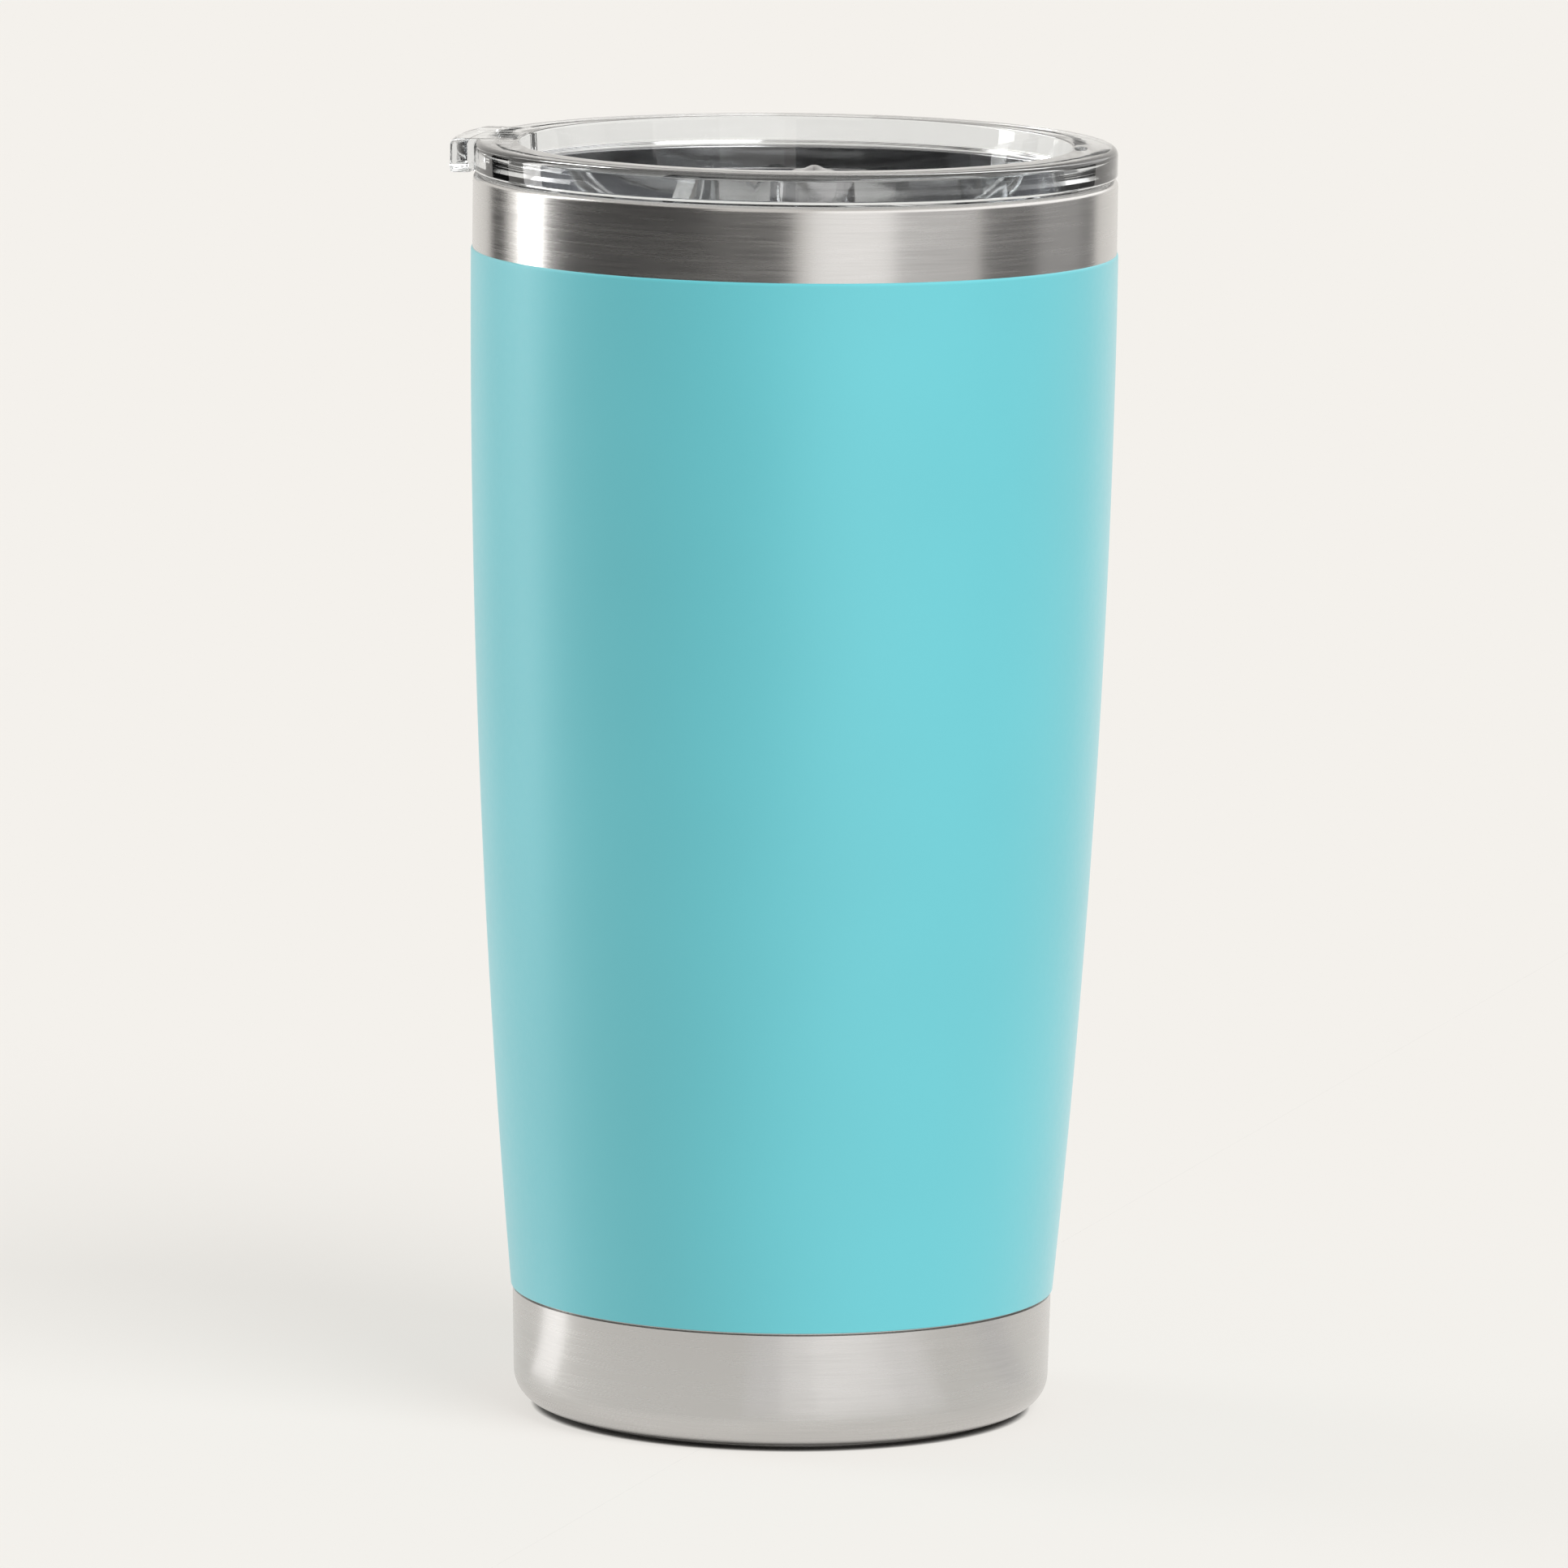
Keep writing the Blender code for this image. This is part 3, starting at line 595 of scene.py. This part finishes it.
def lid_section(angle):
    """Closed outline of the lid body at one angle."""
    share = tab_share(angle)
    outer = FLANGE_RADIUS + (tab_radius - FLANGE_RADIUS) * share
    bottom = FLANGE_UNDERSIDE - TAB_DROP * share
    soft = FLANGE_ROUNDING / 2
    clear = rim_radius + TAB_LIP_CLEARANCE
    plain = FLANGE_RADIUS - 2.0 * soft
    step_outer = plain + (clear + TAB_DROP / 2 - plain) * share
    step_inner = plain - soft + (clear - plain + soft) * share
    under = WELL_FLOOR - FLOOR_THICKNESS
    edge = WELL_EDGE_ROUNDING
    outline = arc((WELL_RADIUS + edge, lid_top - edge), edge, 180, 90, 6)
    outline += arc((outer - FLANGE_ROUNDING, lid_top - FLANGE_ROUNDING), FLANGE_ROUNDING, 90, 0, 10)
    outline += arc((outer - soft, bottom + soft), soft, 0, -90, 6)
    outline += [
        (step_outer, bottom),
        (step_inner, FLANGE_UNDERSIDE),
        (PLUG_WALL_RADIUS, FLANGE_UNDERSIDE),
        (PLUG_WALL_RADIUS, GROOVE_TOP),
        (GROOVE_RADIUS, GROOVE_TOP),
        (GROOVE_RADIUS, GROOVE_BOTTOM),
        (PLUG_WALL_RADIUS, GROOVE_BOTTOM),
    ]
    outline += arc((PLUG_WALL_RADIUS - soft, plug_bottom + soft), soft, 0, -90, 6)
    outline.append((SKIRT_INNER_RADIUS, plug_bottom))
    outline.append((SKIRT_INNER_RADIUS - soft, under))
    outline.append((0.0, under))
    outline.append((0.0, WELL_FLOOR))
    corner = (WELL_FLOOR_RADIUS - WELL_ROUNDING, WELL_FLOOR + WELL_ROUNDING)
    outline += arc(corner, WELL_ROUNDING, -90, 0, 8)
    return outline


def prism(outline, low, high):
    """A bmesh prism over a closed outline of (x, y) points."""
    bm = bmesh.new()
    base = bm.faces.new([bm.verts.new((x, y, low)) for x, y in outline])
    grown = bmesh.ops.extrude_face_region(bm, geom=[base])
    top = [item for item in grown["geom"] if isinstance(item, bmesh.types.BMVert)]
    bmesh.ops.translate(bm, verts=top, vec=Vector((0.0, 0.0, high - low)))
    bmesh.ops.recalc_face_normals(bm, faces=bm.faces)
    return bm


def slot_cutter():
    """Bean-shaped cutter for the drinking opening."""
    turn = math.degrees(SLOT_HALF_ANGLE)
    end = (SLOT_RADIUS * math.cos(SLOT_HALF_ANGLE), SLOT_RADIUS * math.sin(SLOT_HALF_ANGLE))
    outline = arc((0.0, 0.0), SLOT_RADIUS + SLOT_HALF_WIDTH, -turn, turn, 24)
    outline += arc(end, SLOT_HALF_WIDTH, turn, turn + 180, 16)[1:-1]
    outline += arc((0.0, 0.0), SLOT_RADIUS - SLOT_HALF_WIDTH, turn, -turn, 24)
    outline += arc((end[0], -end[1]), SLOT_HALF_WIDTH, 180 - turn, 360 - turn, 16)[1:-1]
    return prism(outline, WELL_FLOOR - 2.0 * FLOOR_THICKNESS, WELL_FLOOR + FLOOR_THICKNESS)


def vent_cutter():
    """Round cutter for the vent."""
    outline = arc((VENT_X, 0.0), VENT_RADIUS, 0, 360, 40)[:-1]
    return prism(outline, WELL_FLOOR - 2.0 * FLOOR_THICKNESS, WELL_FLOOR + FLOOR_THICKNESS)


def rail_mesh():
    """Hooked rail on both sides and behind the slider."""
    side = SLIDER_HALF_WIDTH + CONTACT_GAP
    rear = SLIDER_REAR_X - 2.0 * CONTACT_GAP
    low = WELL_FLOOR - RAIL_SINK
    lip_low = SLIDER_UNDERSIDE + SLIDER_THICKNESS + CONTACT_GAP
    lip_high = lip_low + RAIL_LIP_THICKNESS
    soft = RAIL_LIP_THICKNESS / 4
    section = [
        (0.0, low),
        (RAIL_THICKNESS, low),
        (RAIL_THICKNESS, lip_high - soft),
        (RAIL_THICKNESS - soft, lip_high),
        (soft - RAIL_LIP, lip_high),
        (-RAIL_LIP, lip_high - soft),
        (-RAIL_LIP, lip_low),
        (0.0, lip_low),
    ]
    bm = bmesh.new()
    corners = [[], [], [], []]
    for offset, height in section:
        route = [
            (RAIL_FRONT_X, -side - offset),
            (rear - offset, -side - offset),
            (rear - offset, side + offset),
            (RAIL_FRONT_X, side + offset),
        ]
        for corner, (x, y) in zip(corners, route):
            corner.append(bm.verts.new((x, y, height)))
    for before, after in zip(corners, corners[1:]):
        for index in range(len(section)):
            bm.faces.new((before[index - 1], before[index], after[index], after[index - 1]))
    bm.faces.new(corners[0])
    bm.faces.new(corners[-1])
    bmesh.ops.recalc_face_normals(bm, faces=bm.faces)
    return bm


def apply_boolean(piece, bm, operation):
    """Join or cut a piece with a bmesh, and keep the result as its mesh."""
    mesh = bpy.data.meshes.new("helper")
    bm.to_mesh(mesh)
    bm.free()
    helper = bpy.data.objects.new("helper", mesh)
    bpy.context.collection.objects.link(helper)
    modifier = piece.modifiers.new("boolean", "BOOLEAN")
    modifier.object = helper
    modifier.operation = operation
    modifier.solver = "EXACT"
    bpy.context.view_layer.update()
    evaluated = piece.evaluated_get(bpy.context.evaluated_depsgraph_get())
    result = bpy.data.meshes.new_from_object(evaluated)
    piece.modifiers.clear()
    piece.data = result
    bpy.data.objects.remove(helper)
    piece.data.shade_smooth()
    piece.data.set_sharp_from_angle(angle=SMOOTH_ANGLE)


def make_lid(material):
    """Clear lid body with its tab, slot, vent and rails."""
    sections = []
    for angle in lid_angles():
        sections.append((Vector((math.cos(angle), math.sin(angle), 0.0)), lid_section(angle)))
    lid = make_piece("lid_body_smooth", skin(sections), material)
    apply_boolean(lid, rail_mesh(), "UNION")
    apply_boolean(lid, slot_cutter(), "DIFFERENCE")
    apply_boolean(lid, vent_cutter(), "DIFFERENCE")
    return lid


def make_mark(material):
    """Small round ejector mark on the rim, near the drinking side."""
    radius = WELL_RADIUS + MARK_RADIUS + MARK_WIRE * 2.0
    outline = arc((MARK_RADIUS, 0.0), MARK_WIRE, 0, 360, 10)[:-1]
    mark = turned("rim_mark", outline, material)
    mark.location = (radius * math.cos(MARK_ANGLE), radius * math.sin(MARK_ANGLE), lid_top)
    return mark


def make_gasket(material):
    """Silicone ring with two wiping fins that taper to their edges."""
    inner = GROOVE_RADIUS + CONTACT_GAP
    outer = inner + GASKET_WEB
    tip = gasket_high.x
    pitch = (gasket_high.z - gasket_low.z) / 2
    outline = [(inner, gasket_high.z), (inner, gasket_low.z), (outer, gasket_low.z)]
    for fin in range(2):
        root = gasket_low.z + pitch * (fin + 0.5)
        outline.append((outer, root - FIN_ROOT_HALF_HEIGHT))
        outline += arc((tip - FIN_TIP_RADIUS, root + FIN_LIFT), FIN_TIP_RADIUS, -90, 90, 8)
        outline.append((outer, root + FIN_ROOT_HALF_HEIGHT))
    outline.append((outer, gasket_high.z))
    return turned("lid_gasket_smooth", outline, material)


# ---------------------------------------------------------------- slider

def grip_mesh():
    """Rounded thumb grip with shallow grooves across it."""
    bm = bmesh.new()
    bmesh.ops.create_uvsphere(bm, u_segments=72, v_segments=48, radius=1.0)
    for vert in bm.verts:
        ripple = math.cos(math.pi * vert.co.x * (GRIP_GROOVES + 1.0))
        lift = max(vert.co.z, 0.0) ** 3
        vert.co.z -= GRIP_GROOVE_SHARE * lift * (1.0 - ripple)
    stretch = Matrix.Diagonal((GRIP_RADIUS, GRIP_HALF_LENGTH, GRIP_RADIUS, 1.0))
    place = Matrix.Translation((GRIP_X, 0.0, grip_top - GRIP_RADIUS))
    bmesh.ops.transform(bm, matrix=place @ stretch, verts=bm.verts)
    bmesh.ops.bisect_plane(
        bm,
        geom=bm.verts[:] + bm.edges[:] + bm.faces[:],
        plane_co=(0.0, 0.0, SLIDER_UNDERSIDE + SLIDER_THICKNESS / 2),
        plane_no=(0.0, 0.0, 1.0),
        clear_inner=True,
    )
    bmesh.ops.contextual_create(bm, geom=[edge for edge in bm.edges if edge.is_boundary])
    bmesh.ops.recalc_face_normals(bm, faces=bm.faces)
    return bm


def make_slider(material):
    """Slider plate with rounded edges and its grip."""
    turn = math.degrees(math.asin(SLIDER_HALF_WIDTH / SLIDER_FRONT_RADIUS))
    outline = arc((-SLIDER_TRAVEL, 0.0), SLIDER_FRONT_RADIUS, -turn, turn, 32)
    outline += [(SLIDER_REAR_X, SLIDER_HALF_WIDTH), (SLIDER_REAR_X, -SLIDER_HALF_WIDTH)]
    bm = prism(outline, SLIDER_UNDERSIDE, SLIDER_UNDERSIDE + SLIDER_THICKNESS)
    level = [edge for edge in bm.edges if abs(edge.verts[0].co.z - edge.verts[1].co.z) < TOLERANCE]
    bmesh.ops.bevel(bm, geom=level, offset=SLIDER_EDGE_ROUNDING, segments=3, profile=0.5, affect="EDGES")
    slider = make_piece("lid_slider_smooth", bm, material)
    apply_boolean(slider, grip_mesh(), "UNION")
    return slider


# ---------------------------------------------------------------- stage

def emission_material(name, colour, strength):
    """Plain emitting material for a studio card."""
    material = bpy.data.materials.new(name)
    material.use_nodes = True
    tree = material.node_tree
    tree.nodes.remove(tree.nodes["Principled BSDF"])
    light = tree.nodes.new("ShaderNodeEmission")
    light.inputs["Color"].default_value = (*colour, 1.0)
    light.inputs["Strength"].default_value = strength
    tree.links.new(light.outputs[0], tree.nodes["Material Output"].inputs["Surface"])
    return material


def around(azimuth, distance, height):
    """A point at an azimuth that starts at the photo's viewpoint and grows to the viewer's right."""
    turn = PHOTO_AZIMUTH + azimuth
    return Vector((distance * math.sin(turn), -distance * math.cos(turn), height))


def card_azimuths(start_degrees, end_degrees):
    """Azimuths across a card, both ends included."""
    width = end_degrees - start_degrees
    steps = max(2, round(width / CARD_STEP_DEGREES))
    return [math.radians(start_degrees + width * step / steps) for step in range(steps + 1)]


def make_card(name, level, one_edge, other_edge):
    """Glowing card between two rows of points; only reflections and refractions see it."""
    bm = bmesh.new()
    rungs = [(bm.verts.new(one), bm.verts.new(other)) for one, other in zip(one_edge, other_edge)]
    for before, after in zip(rungs, rungs[1:]):
        bm.faces.new((before[0], after[0], after[1], before[1]))
    card = make_piece(name, bm, emission_material(name, CARD_WHITE, level))
    card.visible_camera = False
    card.visible_diffuse = False
    card.visible_shadow = False


def make_cards():
    """The studio's flags and softboxes, and glowing patches on the floor: painted reflections of light on
    the floor.
    """
    for name, start_degrees, end_degrees, level, bottom, top in UPRIGHT_CARDS:
        azimuths = card_azimuths(start_degrees, end_degrees)
        low = [around(azimuth, CARD_DISTANCE, bottom) for azimuth in azimuths]
        high = [around(azimuth, CARD_DISTANCE, top) for azimuth in azimuths]
        make_card(name, level, low, high)
    for name, start_degrees, end_degrees, level, swing in FLOOR_CARDS:
        turn = math.radians(swing)
        azimuths = card_azimuths(start_degrees, end_degrees)
        near = [around(azimuth, FLOOR_CARD_START, FLOOR_CARD_HEIGHT) for azimuth in azimuths]
        far = [around(azimuth + turn, CARD_DISTANCE, FLOOR_CARD_HEIGHT) for azimuth in azimuths]
        make_card(name, level, near, far)


def make_floor():
    """Pale floor that partly glows, like a light table; ambient occlusion dims the glow right under what
    stands on it, a painted contact shadow.
    """
    material, tree, shader = new_material("floor")
    direct = KEY_LEVEL * math.sin(KEY_ELEVATION) + RIM_LEVEL * math.sin(RIM_ELEVATION)
    albedo = tuple((1.0 - FLOOR_GLOW) * channel / (AMBIENT * channel + direct) for channel in PALE)
    shader.inputs["Base Color"].default_value = (*albedo, 1.0)
    shader.inputs["Roughness"].default_value = 1.0
    shader.inputs["Specular IOR Level"].default_value = 0.0
    shader.inputs["Emission Color"].default_value = (*PALE, 1.0)
    # Painted contact shadow: ambient occlusion dims the glow next to and under the tumbler
    contact_shadow = tree.nodes.new("ShaderNodeAmbientOcclusion")
    contact_shadow.inputs["Distance"].default_value = CONTACT_SHADOW_REACH
    glow = add_range(tree, contact_shadow.outputs["AO"], 0.0, FLOOR_GLOW, from_low=0.5, from_high=1.0)
    tree.links.new(glow, shader.inputs["Emission Strength"])
    bm = bmesh.new()
    bmesh.ops.create_circle(bm, cap_ends=True, segments=64, radius=FLOOR_RADIUS)
    make_piece("floor", bm, material)


def make_light():
    """Pale world, a broad key light from the front right and a weaker one from behind on the left."""
    world = bpy.data.worlds.new("studio")
    bpy.context.scene.world = world
    world.use_nodes = True
    tree = world.node_tree
    background = tree.nodes["Background"]
    background.inputs["Color"].default_value = (*PALE, 1.0)
    path = tree.nodes.new("ShaderNodeLightPath")
    strength = add_range(tree, path.outputs["Is Diffuse Ray"], 1.0, AMBIENT, from_low=0.0, from_high=1.0)
    tree.links.new(strength, background.inputs["Strength"])
    add_sun("key", KEY_LEVEL, KEY_AZIMUTH, KEY_ELEVATION, KEY_ANGLE)
    add_sun("rim", RIM_LEVEL, RIM_AZIMUTH, RIM_ELEVATION, RIM_ANGLE)


def add_sun(name, level, azimuth, elevation, angle):
    """Broad parallel light; its level is what a white surface facing it shows."""
    sun = bpy.data.lights.new(name, "SUN")
    sun.energy = level * math.pi
    sun.angle = angle
    lamp = bpy.data.objects.new(name, sun)
    bpy.context.collection.objects.link(lamp)
    towards = around(azimuth, math.cos(elevation), math.sin(elevation))
    lamp.visible_glossy = False
    lamp.rotation_mode = "QUATERNION"
    lamp.rotation_quaternion = towards.to_track_quat("Z", "Y")


def make_camera():
    """Camera at the photo's viewing angle."""
    camera = bpy.data.objects.new("camera", bpy.data.cameras.new("camera"))
    bpy.context.collection.objects.link(camera)
    camera.data.lens = CAMERA_LENS
    camera.data.sensor_width = SENSOR_WIDTH
    camera.data.clip_start = CAMERA_NEAR
    camera.data.clip_end = CAMERA_FAR
    camera.location = around(0.0, CAMERA_DISTANCE, CAMERA_HEIGHT)
    back = around(0.0, math.cos(CAMERA_PITCH), math.sin(CAMERA_PITCH))
    level = back.to_track_quat("Z", "Y")
    camera.rotation_mode = "QUATERNION"
    yaw = Quaternion((0.0, 1.0, 0.0), CAMERA_YAW)
    camera.rotation_quaternion = level @ yaw @ Quaternion((0.0, 0.0, 1.0), CAMERA_ROLL)
    bpy.context.scene.camera = camera


# ---------------------------------------------------------------- assembly

def dress_vessel():
    """Build and place the vessel's pieces."""
    steel = brushed_steel("bare_steel", (0.62, 0.61, 0.60), roughness=0.26, marks=0.10)
    # The cup's steel is darker than the outer steel: painted shade for the dim inside of the cup
    cup_steel_painted_shade = brushed_steel("inner_steel", (0.42, 0.41, 0.41), roughness=0.08, marks=0.08, brush=0.1)
    base_steel = brushed_steel("base_steel", (0.55, 0.54, 0.53), roughness=0.33, marks=0.12)
    disc_steel = brushed_steel("disc_steel", (0.60, 0.59, 0.58), roughness=0.30, marks=0.10)
    coat = powder_coat_material("teal_coat", (0.098, 0.473, 0.535))
    stand_for(make_shell(steel), "vessel", "bare_steel", "outer_shell")
    stand_for(make_coat(coat), "vessel", "teal_coat", "powder_coat")
    stand_for(make_liner(cup_steel_painted_shade), "vessel", "inner_steel", "inner_liner")
    stand_for(make_pan(base_steel), "vessel", "base_steel", "base_pan")
    stand_for(make_disc(disc_steel), "vessel", "disc_steel", "base_cover_disc")


def dress_lid():
    """Build and place the lid's and the slider's pieces."""
    clear = clear_plastic("clear_lid", (0.90, 0.92, 0.93), roughness=0.03)
    smoked = clear_plastic("smoked_slider", (0.36, 0.36, 0.37), roughness=0.06)
    silicone = silicone_material("silicone", (0.09, 0.09, 0.10), clearness=0.0)
    stand_for(make_lid(clear), "lid", "clear_lid", "lid_body")
    stand_for(make_mark(clear), "lid", "clear_lid")
    stand_for(make_gasket(silicone), "lid", "silicone", "lid_gasket")
    stand_for(make_slider(smoked), "slider", "smoked_slider", "lid_slider")


def dress_kept_nodes():
    """Give the CAD nodes that stay their own materials."""
    solder = dull_metal("solder", (0.33, 0.33, 0.35), roughness=0.45, metallic=0.6, scale=900.0)
    getter = dull_metal("getter", (0.20, 0.20, 0.21), roughness=0.80, metallic=0.0, scale=1600.0)
    strap = dull_metal("strap_steel", (0.50, 0.50, 0.51), roughness=0.35, metallic=1.0, scale=1200.0)
    seal = silicone_material("seal_silicone", (0.78, 0.79, 0.80), clearness=0.6)
    finishes = {"vacuum_plug": solder, "getter_pellet": getter, "getter_clip": strap, "slider_seal": seal}
    for node, material in finishes.items():
        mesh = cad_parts[node].data
        mesh.materials.clear()
        mesh.materials.append(material)


make_camera()
dress_vessel()
dress_lid()
dress_kept_nodes()
make_floor()
make_cards()
make_light()
bpy.context.scene.view_settings.view_transform = "Standard"
